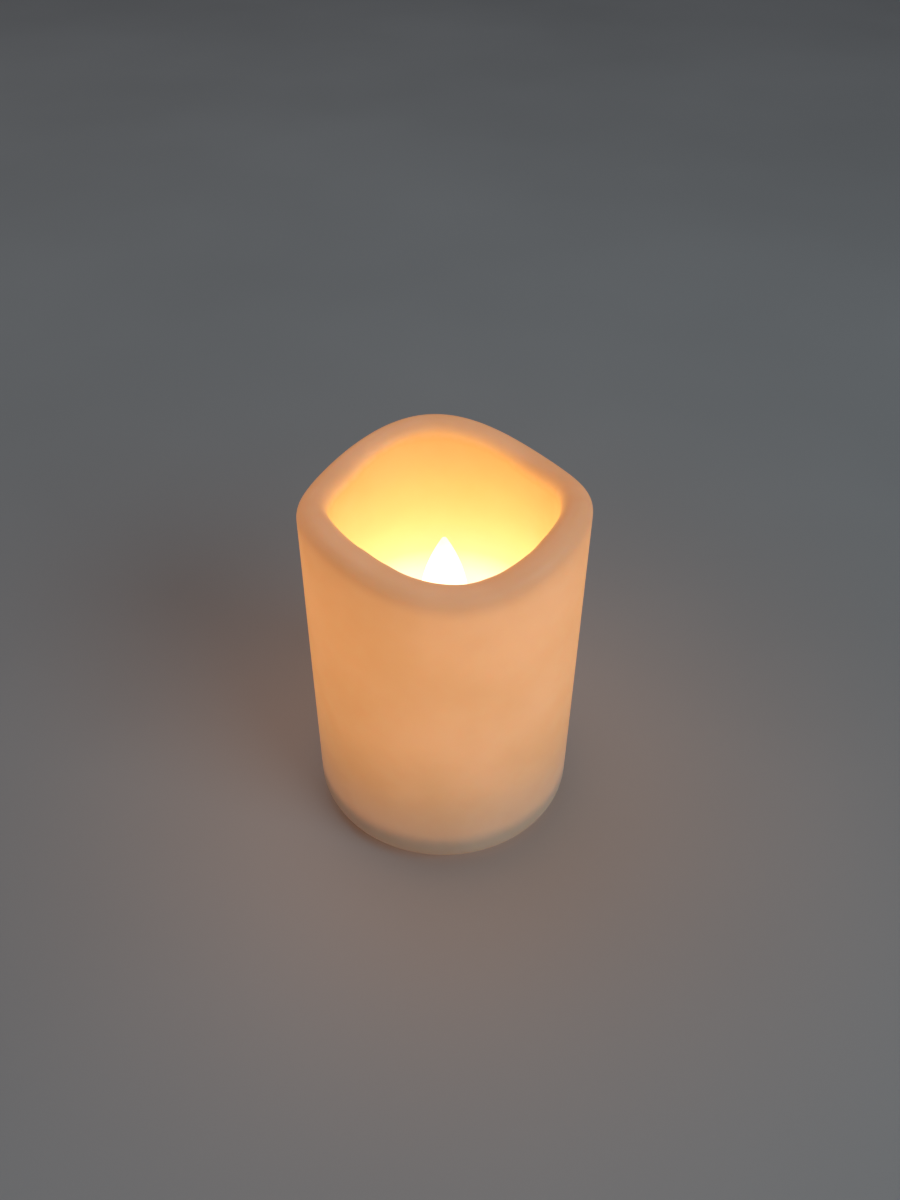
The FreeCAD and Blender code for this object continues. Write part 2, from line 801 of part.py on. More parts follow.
def make_cells():
    """Three cells, the middle one the other way round."""
    head = "(bay_half_length - contact_thick - contact_bump)"
    shoulder = f"{head} - cell_nub_length"
    tail = f"{head} - cell_length"
    for index, way in enumerate((1, -1, 1), start=1):
        cell = turned(f"Cell{index}", [
            (f"{way} * ({tail})", "0"),
            (f"{way} * ({tail})", "cell_radius - cell_edge"),
            (f"{way} * ({tail} + cell_edge)", "cell_radius"),
            (f"{way} * ({shoulder} - cell_edge)", "cell_radius"),
            (f"{way} * ({shoulder})", "cell_radius - cell_edge"),
            (f"{way} * ({shoulder})", "cell_nub_radius"),
            (f"{way} * {head}", "cell_nub_radius"),
            (f"{way} * {head}", "0"),
        ], "H_Axis")
        node(f"aaa_cell_{index}", place(cell, 0, f"{index - 2} * cell_pitch", "cell_height"))


def contact_plate(name, side, y_low, y_high, bump=None, tab=None):
    """Plate at one end of the bay; it may have a button for a cell's nub, and a solder tab."""
    middle = f"{side} * (bay_half_length - contact_thick / 2)"

    def strip(label, y0, y1, z0, z1):
        return box(label, f"{middle} - contact_thick / 2", f"{middle} + contact_thick / 2", y0, y1, z0, z1)

    pieces = [strip(name + "Plate", y_low, y_high, "cell_height - contact_half_height",
                    "cell_height + contact_half_height")]
    if bump is not None:
        pieces.append(lying(name + "Bump", "contact_bump_radius", "contact_bump + contact_thick / 2",
                            V(-side, 0, 0), middle, bump, "cell_height"))
    if tab is not None:
        pieces.append(strip(name + "Tab", f"{tab} - tab_half_width", f"{tab} + tab_half_width",
                            "cell_height + contact_half_height - lap", "bay_ceiling + tab_rise"))
    return fuse(name, *pieces)


def make_contacts():
    """Two end terminals and two links that join neighbouring cells."""
    node("positive_terminal",
         contact_plate("PositiveTerminal", 1, "-contact_outer", "-contact_inner",
                       bump="-cell_pitch", tab="-cell_pitch"))
    node("link_contact_right",
         contact_plate("LinkRight", 1, "-link_inner", "contact_outer", bump="cell_pitch"))
    node("link_contact_left",
         contact_plate("LinkLeft", -1, "-contact_outer", "link_inner", bump="0"))
    node("negative_terminal",
         contact_plate("NegativeTerminal", -1, "contact_inner", "contact_outer", tab="cell_pitch"))


def make_springs():
    """A short coil between each cell's flat end and the plate behind it."""
    wire = value("coil_wire_radius")
    coil = value("coil_radius")
    seat = value("bay_half_length - contact_thick")
    rise = value("2 * bay_half_length - 2 * contact_thick - contact_bump - cell_length") - 2 * wire
    for index, side in enumerate((-1, 1, -1), start=1):
        helix = Part.makeHelix(rise / value("coil_turns"), rise, coil)
        section = Part.Wire([Part.makeCircle(wire, V(coil, 0, 0), V(0, 1, 0))])
        spring = shaped(f"ContactSpring{index}", helix.makePipeShell([section], True, True))
        start = V(side * (seat - wire), (index - 2) * value("cell_pitch"), value("cell_height"))
        spring.Placement = FreeCAD.Placement(start, FreeCAD.Rotation(UP, V(-side, 0, 0)))
        node(f"contact_spring_{index}", spring)


def bent_wire(name, points, radius):
    """Round wire along straight runs that tangent arcs join."""
    edges = []
    start = points[0]
    for before, corner, after in zip(points, points[1:], points[2:]):
        back = before - corner
        ahead = after - corner
        half_turn = (math.pi - back.getAngle(ahead)) / 2
        trim = 0.45 * min(back.Length, ahead.Length)
        bend = trim / math.tan(half_turn)
        back.normalize()
        ahead.normalize()
        first = corner + back * trim
        last = corner + ahead * trim
        inward = back + ahead
        inward.normalize()
        middle = corner + inward * (bend / math.cos(half_turn) - bend)
        edges.append(Part.LineSegment(start, first).toShape())
        edges.append(Part.Arc(first, middle, last).toShape())
        start = last
        print(f"{name} bend radius {bend:.2f}")
    edges.append(Part.LineSegment(start, points[-1]).toShape())
    path = Part.Wire(edges)
    section = Part.Wire([Part.makeCircle(radius, points[0], points[1] - points[0])])
    tube = path.makePipeShell([section], True, False)
    drift = abs(tube.Volume / (math.pi * radius ** 2 * path.Length) - 1)
    print(f"{name} length {path.Length:.1f} volume drift {drift:.4f}")
    return tube


def make_lamp_wires():
    """From the lamp's legs down the stalk's bore and straight onto the board."""
    lead = value("lead_offset")
    joint = value("led_base - lead_length")
    for side, colour in ((1, "red"), (-1, "black")):
        name = f"led_wire_{colour}"
        runs = [V(side * lead, 0, joint),
                V(side * lead, 0, 34),
                V(side * 2.9, side * 2.2, 26),
                V(side * 2.9, side * 2.2, value("board_top"))]
        node(name, shaped(f"LedWire{colour.title()}", bent_wire(name, runs, value("led_wire_radius"))))


def make_battery_wires():
    """From the inner face of each end terminal's tab, up and over to the board."""
    thick = value("hookup_radius")
    beside_tab = value("bay_half_length - contact_thick - hookup_radius")
    pitch = value("cell_pitch")
    joint = value("bay_ceiling") + 3.4
    for side, colour in ((1, "red"), (-1, "black")):
        name = f"battery_wire_{colour}"
        runs = [V(side * beside_tab, -side * pitch, joint),
                V(side * beside_tab, -side * pitch, joint + 3.2),
                V(side * 20.0, -side * 8.0, joint + 4.6),
                V(side * 15.2, -side * 4.4, joint + 4.4),
                V(side * 15.2, -side * 4.4, value("board_top"))]
        node(name, shaped(f"BatteryWire{colour.title()}", bent_wire(name, runs, thick)))


def make_switch_wires():
    """From the two middle pins of the switch, over the board's front edge and down onto it."""
    behind_pin = value("pin_half_thick + hookup_radius - switch_back")
    pin_joint = value("plate_top + switch_height") + 1.8
    leads = []
    for index, side in enumerate((-1, 1)):
        runs = [V(side * 1.5, behind_pin, pin_joint),
                V(side * 1.5, behind_pin, 18.5),
                V(side * 3.5, -16.0, 22.4),
                V(side * 5.0, -9.6, 21.8),
                V(side * 5.0, -9.6, value("board_top"))]
        tube = bent_wire(f"switch_wire_{index}", runs, value("hookup_radius"))
        leads.append(shaped(f"SwitchWire{index}", tube))
    node("switch_wires", group("SwitchWires", leads))


make_shell()
make_housing()
make_cover()
make_screws()
make_stem()
make_diffuser()
make_led()
make_leads()
make_board()
make_chip()
make_crystal()
make_capacitor()
make_resistors()
make_switch()
make_knob()
make_door()
make_cells()
make_contacts()
make_springs()
make_lamp_wires()
make_battery_wires()
make_switch_wires()
doc.recompute()

faults = [thing.Label for thing in doc.Objects if "Invalid" in thing.State or "Error" in thing.State]
for label, thing in nodes.items():
    if thing.Shape.isNull() or not thing.Shape.isValid():
        faults.append(label)
if faults:
    raise RuntimeError("failed: " + ", ".join(faults))

for label, thing in nodes.items():
    thing.Shape.exportStep(f"parts/{label}.step")
    print(f"{label}: {len(thing.Shape.Solids)} solids, {thing.Shape.Volume:.1f} mm3")
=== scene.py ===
import math
import bmesh
import bpy
from mathutils import Matrix, Vector, noise


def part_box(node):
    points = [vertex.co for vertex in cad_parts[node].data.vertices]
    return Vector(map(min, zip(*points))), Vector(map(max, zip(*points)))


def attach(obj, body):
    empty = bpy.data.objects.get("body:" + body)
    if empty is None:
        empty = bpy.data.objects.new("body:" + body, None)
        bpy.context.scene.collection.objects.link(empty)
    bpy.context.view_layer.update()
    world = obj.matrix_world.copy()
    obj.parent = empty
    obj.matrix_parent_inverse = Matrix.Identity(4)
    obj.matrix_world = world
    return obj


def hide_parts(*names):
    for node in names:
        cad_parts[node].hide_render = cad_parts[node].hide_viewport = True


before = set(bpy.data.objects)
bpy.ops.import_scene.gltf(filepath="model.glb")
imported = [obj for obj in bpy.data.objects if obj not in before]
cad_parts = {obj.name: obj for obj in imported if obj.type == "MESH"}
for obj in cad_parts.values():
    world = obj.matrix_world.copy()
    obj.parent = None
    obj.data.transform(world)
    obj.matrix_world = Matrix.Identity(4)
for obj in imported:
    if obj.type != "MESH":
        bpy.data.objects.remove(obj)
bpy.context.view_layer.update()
print("frame loaded")

mm = 0.001
grainLow = 0.3  # a grain's values mostly lie between these two
grainHigh = 0.7
shellLow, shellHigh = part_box("wax_shell")
flameLow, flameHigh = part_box("flame_diffuser")


def srgb(red, green, blue):
    # a screen colour from 0 to 255 as the shader's linear colour
    shares = [channel / 255 for channel in (red, green, blue)]
    linear = [share / 12.92 if share <= 0.04045 else ((share + 0.055) / 1.055) ** 2.4 for share in shares]
    return (*linear, 1.0)


class Wire:
    # one output socket; arithmetic on it adds Math nodes to its material
    def __init__(self, finish, socket):
        self.finish = finish
        self.socket = socket

    def maths(self, operation, first, second):
        return self.finish.node("ShaderNodeMath", {"operation": operation}, {0: first, 1: second})

    def __add__(self, other):
        return self.maths("ADD", self, other)

    def __radd__(self, other):
        return self.maths("ADD", other, self)

    def __sub__(self, other):
        return self.maths("SUBTRACT", self, other)

    def __rsub__(self, other):
        return self.maths("SUBTRACT", other, self)

    def __mul__(self, other):
        return self.maths("MULTIPLY", self, other)

    def __rmul__(self, other):
        return self.maths("MULTIPLY", other, self)

    def __truediv__(self, other):
        return self.maths("DIVIDE", self, other)

    def __rtruediv__(self, other):
        return self.maths("DIVIDE", other, self)

    def __pow__(self, other):
        return self.maths("POWER", self, other)


class Finish:
    # a material and its nodes
    def __init__(self, name, **surface):
        self.material = bpy.data.materials.new(name)
        self.material.use_nodes = True
        self.tree = self.material.node_tree
        self.shader = self.tree.nodes["Principled BSDF"]
        for socket, value in surface.items():
            self.shader.inputs[socket.replace("_", " ")].default_value = value

    def node(self, kind, settings=None, inputs=None, output=0):
        made = self.tree.nodes.new(kind)
        for setting, value in (settings or {}).items():
            if setting == "stops":
                self.fillRamp(made.color_ramp, value)
            elif setting == "easing":
                made.color_ramp.interpolation = value
            else:
                setattr(made, setting, value)
        for key, value in (inputs or {}).items():
            socket = made.inputs[key]
            if isinstance(value, Wire):
                self.tree.links.new(value.socket, socket)
            else:
                socket.default_value = value
        return Wire(self, made.outputs[output])

    def fillRamp(self, ramp, stops):
        while len(ramp.elements) < len(stops):
            ramp.elements.new(1.0)
        for element, (place, colour) in zip(ramp.elements, stops):
            element.position = place
            element.color = colour

    def feed(self, **links):
        for socket, wire in links.items():
            self.tree.links.new(wire.socket, self.shader.inputs[socket.replace("_", " ")])
        return self.material

    def coords(self):
        return self.node("ShaderNodeTexCoord", output="Object")

    def axis(self, vector, letter):
        return self.node("ShaderNodeSeparateXYZ", inputs={0: vector}, output=letter)

    def ramp(self, value, stops, easing="EASE"):
        return self.node("ShaderNodeValToRGB", {"stops": stops, "easing": easing}, {0: value})

    def mottle(self, grain, dark, light):
        # a colour that wanders with a grain
        return self.ramp(grain, [(grainLow, dark), (grainHigh, light)])

    def wander(self, grain, low, high):
        # a number that wanders with a grain
        return self.span(grain, grainLow, grainHigh, low, high)

    def span(self, value, low, high, first=0.0, last=1.0):
        # value carried from low..high to first..last, smooth at both ends and held outside
        settings = {"interpolation_type": "SMOOTHSTEP"}
        return self.node("ShaderNodeMapRange", settings, {0: value, 1: low, 2: high, 3: first, 4: last})

    def mix(self, factor, first, second, blend="MIX"):
        settings = {"data_type": "RGBA", "blend_type": blend}
        return self.node("ShaderNodeMix", settings, {0: factor, 6: first, 7: second}, 2)

    def grain(self, vector, scale, detail=3.0, roughness=0.5):
        inputs = {"Vector": vector, "Scale": scale, "Detail": detail, "Roughness": roughness}
        return self.node("ShaderNodeTexNoise", inputs=inputs)

    def bump(self, height, distance, strength, normal=None):
        inputs = {"Strength": strength, "Distance": distance, "Height": height}
        if normal is not None:
            inputs["Normal"] = normal
        return self.node("ShaderNodeBump", inputs=inputs)


def finishPiece(bm, name, body, replaced, material):
    bmesh.ops.remove_doubles(bm, verts=bm.verts[:], dist=0.5e-6)
    bmesh.ops.recalc_face_normals(bm, faces=bm.faces[:])
    mesh = bpy.data.meshes.new(name)
    bm.to_mesh(mesh)
    bm.free()
    mesh.polygons.foreach_set("use_smooth", [True] * len(mesh.polygons))
    mesh.materials.append(material)
    piece = bpy.data.objects.new(name, mesh)
    bpy.context.scene.collection.objects.link(piece)
    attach(piece, body)
    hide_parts(*replaced)
    return piece


def section(bm, corners, rounds):
    # the closed outline of a turned part in the XZ plane, with some corners rounded
    verts = [bm.verts.new((across, 0, up)) for across, up in corners]
    bm.faces.new(verts)
    for index, (radius, steps) in rounds.items():
        bmesh.ops.bevel(bm, geom=[verts[index]], offset=radius, segments=steps, profile=0.5,
                        affect="VERTICES", material=-1)
    bmesh.ops.delete(bm, geom=bm.faces[:], context="FACES_ONLY")


def turn(bm, steps):
    # spin the outline once round the candle's axis
    bmesh.ops.spin(bm, geom=bm.verts[:] + bm.edges[:], cent=(0, 0, 0), axis=(0, 0, 1), angle=2 * math.pi,
                   steps=steps, use_merge=True)


def eased(value, low, high):
    share = min(max((value - low) / (high - low), 0.0), 1.0)
    return share * share * (3 - 2 * share)


# The wax shell: a thick turned wall whose lip rises and falls in three slow waves.
wax = {
    "footRound": 6.0 * mm,
    "lipOuterRound": 3.8 * mm,
    "lipInnerRound": 3.4 * mm,
    "wall": 8.1 * mm,
    "boreDraft": 1.2 * mm,
    "seatRadius": 31.0 * mm,
    "seatHeight": 26.8 * mm,
    "wave": 3.0 * mm,
    "waves": 3,
    "waveFrom": 55 * mm,
    "waveFullBelow": 4 * mm,
    "around": 240,
    "roundSteps": 12,
    "innerRoundSteps": 8,
    "tallEdge": 30 * mm,
    "upCuts": 36,
    # the inner edge is left uneven by the wax as it sets
    "melt": 0.34 * mm,
    "meltAcross": (0.6 * mm, 4.5 * mm),
    "meltBelow": (3 * mm, 16 * mm),
    "slowMelt": 2.6,
    "slowOffset": 3.1,
    "quickMelt": 9,
    "quickOffset": 7.7,
    "quickMeltHeight": 9 * mm,
    "quickShare": 0.25,
    # the outside is very slightly out of round
    "wobble": 0.09 * mm,
    "wobbleDepth": (0.2 * mm, 1.5 * mm),
    "wobbleFrom": 12 * mm,
    "wobbleAround": 1.8,
    "wobbleHeight": 34 * mm,
}
waxRadius = shellHigh.x
rimHeight = shellHigh.z - wax["wave"]
mouthRadius = waxRadius - wax["wall"]


def rimWave(angle):
    return wax["wave"] * math.cos(wax["waves"] * (angle - math.pi / 2))


def lipMelt(around, radius, height):
    nearMouth = 1 - eased(radius - mouthRadius, *wax["meltAcross"])
    nearRim = 1 - eased(rimHeight - height, *wax["meltBelow"])
    slow = noise.noise(around * wax["slowMelt"] + Vector((wax["slowOffset"], 0, 0)))
    ripple = Vector((0, wax["quickOffset"], height / wax["quickMeltHeight"]))
    quick = noise.noise(around * wax["quickMelt"] + ripple)
    melt = wax["melt"] * nearMouth * nearRim
    sag = melt * (1 + quick) / 4
    return around * melt * (slow + wax["quickShare"] * quick) - Vector((0, 0, sag))


def handWobble(around, radius, height):
    # it only ever goes inwards
    outside = 1 - eased(waxRadius - radius, *wax["wobbleDepth"])
    up = Vector((0, 0, height / wax["wobbleHeight"]))
    dent = (1 + noise.noise(around * wax["wobbleAround"] + up)) / 2
    return around * -wax["wobble"] * outside * eased(height, 0, wax["wobbleFrom"]) * dent


def makeWax(material):
    bm = bmesh.new()
    rounds = {
        1: (wax["footRound"], wax["roundSteps"]),
        2: (wax["lipOuterRound"], wax["roundSteps"]),
        3: (wax["lipInnerRound"], wax["innerRoundSteps"]),
    }
    section(bm, [
        (wax["seatRadius"], shellLow.z),
        (waxRadius, shellLow.z),
        (waxRadius, rimHeight),
        (mouthRadius, rimHeight),
        (mouthRadius + wax["boreDraft"], wax["seatHeight"]),
        (wax["seatRadius"], wax["seatHeight"]),
    ], rounds)
    tall = [edge for edge in bm.edges if edge.calc_length() > wax["tallEdge"]]
    bmesh.ops.subdivide_edges(bm, edges=tall, cuts=wax["upCuts"])
    turn(bm, wax["around"])
    for vert in bm.verts:
        radius = math.hypot(vert.co.x, vert.co.y)
        angle = math.atan2(vert.co.y, vert.co.x)
        around = Vector((math.cos(angle), math.sin(angle), 0))
        height = vert.co.z
        vert.co.z += rimWave(angle) * eased(height, wax["waveFrom"], rimHeight - wax["waveFullBelow"])
        vert.co += lipMelt(around, radius, height)
        vert.co += handWobble(around, radius, height)
    finishPiece(bm, "waxBody", "candle", ["wax_shell"], material)


glow = {
    # painted glow: emission colours of the wall lit from inside, from the foot up to the lip, by share of the
    # rim height
    "outer": [(0.00, srgb(134, 88, 60)), (0.10, srgb(140, 92, 60)), (0.16, srgb(150, 97, 56)),
              (0.22, srgb(160, 102, 52)), (0.30, srgb(176, 114, 55)), (0.44, srgb(195, 126, 60)),
              (0.60, srgb(203, 131, 62)), (0.78, srgb(208, 133, 62)), (0.90, srgb(205, 130, 60)),
              (0.97, srgb(198, 124, 56))],
    # painted shade: the thick lip glows less than the wall below it
    "lip": srgb(171, 101, 40),
    "lipBelow": (0.3 * mm, 7.2 * mm),
    # painted shade: the foot glows dimmer near the floor, up to an uneven line
    "foot": srgb(84, 55, 38),
    "footHeights": (7.2 * mm, 13.8 * mm),
    "footRagged": 1.6 * mm,
    # painted lamp light inside: colours from far from the lamp to beside it
    "inner": [(0.00, srgb(186, 124, 62)), (0.14, srgb(196, 144, 74)), (0.25, srgb(206, 168, 88)),
              (0.36, srgb(214, 184, 102)), (0.50, srgb(224, 205, 121)), (0.77, srgb(236, 224, 154)),
              (0.92, srgb(246, 240, 202)), (1.0, srgb(251, 248, 230))],
    "lampHeight": 50 * mm,
    "falloff": 1.5,
    "litBelow": (1.4 * mm, 5.6 * mm),
    "mouthEdge": (0.3 * mm, 2.2 * mm),
    "edgeCloud": 4 * mm,
    "edgeRagged": 1.8 * mm,
    "seatFade": 3 * mm,
    "cloudShare": 0.10,
    "cloudDim": (0.75, 0.75, 0.75, 1),
    "cloudBright": (1.2, 1.2, 1.2, 1),
}
ivory = {
    "dark": srgb(226, 205, 176),
    "light": srgb(238, 220, 194),
    # painted shade: a darker amber for the inner wall below the mouth edge, damping the light it reflects
    "paintedInnerShade": srgb(196, 138, 74),
    "paintedShadeBelow": (1.2 * mm, 4.8 * mm),
    "paintedShadeShare": 0.8,
    "cloudScale": 38.0,
    "raggedScale": 330.0,
    "slowScale": 120.0,
    "slowBump": (0.25 * mm, 0.35),
    "fineScale": 900.0,
    "fineBump": (0.05 * mm, 0.25),
    "roughness": (0.42, 0.56),
}
unlit = (0, 0, 0, 1)


def waxFinish():
    coat = Finish("ivoryWax", Subsurface_Weight=0.35, Subsurface_Scale=6 * mm, IOR=1.43,
                  Subsurface_Radius=(1.0, 0.55, 0.25), Emission_Strength=1.0)
    place = coat.coords()
    cloud = coat.grain(place, ivory["cloudScale"], 3.0, 0.55)
    ragged = coat.grain(place, ivory["raggedScale"], 2.0)
    x = coat.axis(place, "X")
    y = coat.axis(place, "Y")
    z = coat.axis(place, "Z")
    radius = (x * x + y * y) ** 0.5
    side = y / (radius + 1e-6)
    wave = (4 * side * side * side - 3 * side) * wax["wave"]  # minus sine of three times the angle
    below = wave + rimHeight - z
    # outside: the painted glow, with painted shade on the lip and the foot
    skin = coat.ramp(z / rimHeight, glow["outer"], "LINEAR")
    # painted shade on the lip
    skin = coat.mix(coat.span(below, *glow["lipBelow"], 1.0, 0.0), skin, glow["lip"])
    # painted shade over the foot, up to an uneven line
    footLine = z + (ragged - 0.5) * glow["footRagged"]
    skin = coat.mix(coat.span(footLine, *glow["footHeights"], 1.0, 0.0), skin, glow["foot"])
    # inside: painted lamp light, falling off with distance from the lamp
    drop = z - glow["lampHeight"]
    reach = mouthRadius ** 2
    near = (reach / (reach + drop * drop)) ** glow["falloff"]
    aboveSeat = coat.span(z, wax["seatHeight"], wax["seatHeight"] + glow["seatFade"])
    innerWall = coat.mix(aboveSeat, unlit, coat.ramp(near, glow["inner"], "LINEAR"))
    bore = (rimHeight - z) * (wax["boreDraft"] / (rimHeight - wax["seatHeight"])) + mouthRadius
    innerSide = coat.span(radius - bore, *glow["mouthEdge"], 1.0, 0.0)
    edge = below + (cloud - 0.5) * glow["edgeCloud"] + (ragged - 0.5) * glow["edgeRagged"]
    lit = coat.mix(innerSide * coat.span(edge, *glow["litBelow"]), skin, innerWall)
    # the painted glow is made uneven in clouds
    clouds = coat.mottle(cloud, glow["cloudDim"], glow["cloudBright"])
    lit = coat.mix(glow["cloudShare"], lit, clouds, "MULTIPLY")
    base = coat.mottle(cloud, ivory["dark"], ivory["light"])
    # painted shade: the inner wall below the mouth edge is darkened to amber
    paintedShadeShare = innerSide * coat.span(edge, *ivory["paintedShadeBelow"]) * ivory["paintedShadeShare"]
    base = coat.mix(paintedShadeShare, base, ivory["paintedInnerShade"])
    slow = coat.grain(place, ivory["slowScale"], 2.0)
    fine = coat.grain(place, ivory["fineScale"], 4.0, 0.6)
    normal = coat.bump(fine, *ivory["fineBump"], coat.bump(slow, *ivory["slowBump"]))
    # the emission colour carries the painted glow, painted shade and painted lamp light
    return coat.feed(Base_Color=base, Roughness=coat.wander(slow, *ivory["roughness"]), Normal=normal,
                     Emission_Color=lit)


# The flame: a hollow frosted point that glows all over.
flame = {
    "steps": 64,
    # half widths and heights, as shares of the widest place and of the height
    "outline": [(0.93, 0.0), (1.0, 0.2), (0.92, 0.39), (0.81, 0.53), (0.67, 0.66), (0.49, 0.78), (0.30, 0.89),
                (0.15, 0.965), (0.08, 1.0), (0.0, 1.0)],
    "curveSteps": 8,
    "wall": 1.1 * mm,
    "light": 1.6,
    "heat": [(0.0, srgb(255, 214, 120)), (0.35, srgb(255, 246, 214)), (0.8, srgb(255, 246, 214)),
             (1.0, srgb(255, 236, 180))],
    "frost": [(0.0, srgb(245, 236, 214)), (1.0, srgb(250, 244, 230))],
}
flameTall = flameHigh.z - flameLow.z


def makeFlame(material):
    curve = bpy.data.curves.new("flameCurve", "CURVE")
    curve.dimensions = "3D"
    spline = curve.splines.new("NURBS")
    spline.points.add(len(flame["outline"]) - 1)
    for point, (across, up) in zip(spline.points, flame["outline"]):
        point.co = (flameHigh.x * across, 0, flameLow.z + flameTall * up, 1)
    spline.use_endpoint_u = True
    spline.order_u = 3
    spline.resolution_u = flame["curveSteps"]
    holder = bpy.data.objects.new("flameCurve", curve)
    bm = bmesh.new()
    bm.from_mesh(bpy.data.meshes.new_from_object(holder))
    bpy.data.objects.remove(holder)
    turn(bm, flame["steps"])
    piece = finishPiece(bm, "flame", "candle", ["flame_diffuser"], material)
    wall = piece.modifiers.new("wall", "SOLIDIFY")
    wall.thickness = flame["wall"]
    wall.offset = -1


def flameFinish():
    frost = Finish("litFlame", Roughness=0.45, Emission_Strength=flame["light"], Subsurface_Weight=0.2,
                   Subsurface_Scale=2 * mm)
    share = (frost.axis(frost.coords(), "Z") - flameLow.z) / flameTall
    return frost.feed(Base_Color=frost.ramp(share, flame["frost"]),
                      Emission_Color=frost.ramp(share, flame["heat"]))


# Mouldings, metals and wires of the base unit.
moulding = {
    "cloudScale": 60.0,
    "sparkScale": 2600.0,
    "sparkDepth": 0.03 * mm,
    "sparkStrength": 0.6,
    "roughnessSwing": 0.06,
}


def mouldedFinish(name, dark, light, roughness, depth=moulding["sparkDepth"]):
    plastic = Finish(name)
    place = plastic.coords()
    cloud = plastic.grain(place, moulding["cloudScale"])
    spark = plastic.grain(place, moulding["sparkScale"], 3.0, 0.6)
    swing = moulding["roughnessSwing"]
    rough = plastic.wander(spark, roughness - swing, roughness + swing)
    return plastic.feed(Base_Color=plastic.mottle(cloud, srgb(*dark), srgb(*light)), Roughness=rough,
                        Normal=plastic.bump(spark, depth, moulding["sparkStrength"]))


litMoulding = {
    "cloudScale": 80.0,
    "sparkDepth": 0.02 * mm,
    "sparkStrength": 0.5,
    "roughness": 0.4,
}


def litMouldedFinish(name, dark, light, colour, strength, heights=None):
    # moulded plastic given an emission glow: the lamp's own light for the lamp itself, painted light for
    # parts it shines on or through; all over or more and more between two heights
    plastic = Finish(name, Roughness=litMoulding["roughness"], Emission_Strength=strength,
                     Emission_Color=srgb(*colour))
    place = plastic.coords()
    if heights:
        share = plastic.span(plastic.axis(place, "Z"), *heights)
        plastic.feed(Emission_Color=plastic.mix(share, unlit, srgb(*colour)))
    cloud = plastic.grain(place, litMoulding["cloudScale"])
    spark = plastic.grain(place, moulding["sparkScale"])
    return plastic.feed(Base_Color=plastic.mottle(cloud, srgb(*dark), srgb(*light)),
                        Normal=plastic.bump(spark, litMoulding["sparkDepth"], litMoulding["sparkStrength"]))


metal = {
    "brushScale": 900.0,
    "brushDepth": 0.01 * mm,
    "brushStrength": 0.5,
    "smoother": 0.08,
    "rougher": 0.10,
}


def metalFinish(name, dark, light, roughness, stretch=(1, 1, 1)):
    bright = Finish(name, Metallic=1.0)
    place = bright.node("ShaderNodeMapping", inputs={"Vector": bright.coords(), "Scale": stretch})
    brushed = bright.grain(place, metal["brushScale"], 4.0, 0.65)
    rough = bright.wander(brushed, roughness - metal["smoother"], roughness + metal["rougher"])
    return bright.feed(Base_Color=bright.mottle(brushed, srgb(*dark), srgb(*light)), Roughness=rough,
                       Normal=bright.bump(brushed, metal["brushDepth"], metal["brushStrength"]))


# Places along a cell are measured from the middle of the bay towards the cell's positive end.
cellWrap = {
    "slate": (srgb(88, 100, 112), srgb(96, 108, 120)),
    "pale": (srgb(206, 208, 204), srgb(213, 215, 211)),
    "steel": srgb(205, 205, 205),
    "band": (12.0 * mm, 18.0 * mm),
    "bareAbove": 22.4 * mm,
    "bareBelow": -20.45 * mm,
    "bandEdge": 0.1 * mm,
    "bareEdge": 0.05 * mm,
    "grainScale": 700.0,
    "roughness": (0.22, 0.36),
    "metallic": (0.2, 1.0),
}


def cellFinish(name, direction):
    # plain wrap: slate barrel with a pale band near the positive end, bare metal at both ends
    wrap = Finish(name)
    place = wrap.coords()
    along = wrap.axis(place, "X") * direction
    grain = wrap.grain(place, cellWrap["grainScale"])

    def past(line, edge):
        return wrap.span(along, line - edge, line + edge)

    bandStart, bandEnd = cellWrap["band"]
    band = past(bandStart, cellWrap["bandEdge"]) * (1 - past(bandEnd, cellWrap["bandEdge"]))
    bareHead = past(cellWrap["bareAbove"], cellWrap["bareEdge"])
    bareTail = 1 - past(cellWrap["bareBelow"], cellWrap["bareEdge"])
    bare = bareHead + bareTail
    printed = wrap.mix(band, wrap.mottle(grain, *cellWrap["slate"]), wrap.mottle(grain, *cellWrap["pale"]))
    return wrap.feed(Base_Color=wrap.mix(bare, printed, cellWrap["steel"]),
                     Metallic=wrap.span(bare, 0.1, 0.9, *cellWrap["metallic"]),
                     Roughness=wrap.wander(grain, *cellWrap["roughness"]))


board = {
    "mask": srgb(24, 88, 48),
    "trace": srgb(52, 126, 72),
    "traceScale": 260.0,
    "traceEdge": (0.05, 0.09),
    "traceBump": (0.03 * mm, 0.6),
    "unevenness": 0.65,
    "roughness": (0.32, 0.42),
}


def boardFinish():
    mask = Finish("boardMask", Coat_Weight=0.3)
    settings = {"distance": "CHEBYCHEV", "feature": "DISTANCE_TO_EDGE"}
    inputs = {"Vector": mask.coords(), "Scale": board["traceScale"], "Randomness": board["unevenness"]}
    cells = mask.node("ShaderNodeTexVoronoi", settings, inputs)
    trace = mask.span(cells, *board["traceEdge"], 1.0, 0.0)
    return mask.feed(Base_Color=mask.mix(trace, board["mask"], board["trace"]),
                     Roughness=mask.span(trace, 0.0, 1.0, *board["roughness"]),
                     Normal=mask.bump(trace, *board["traceBump"]))


makeWax(waxFinish())
print("wax body made")
makeFlame(flameFinish())
print("flame made")

ivoryDark = (218, 209, 190)
ivoryLight = (225, 217, 199)
sleeveDepth = 0.01 * mm
ivoryPlastic = mouldedFinish("ivoryMoulding", ivoryDark, ivoryLight, 0.48)
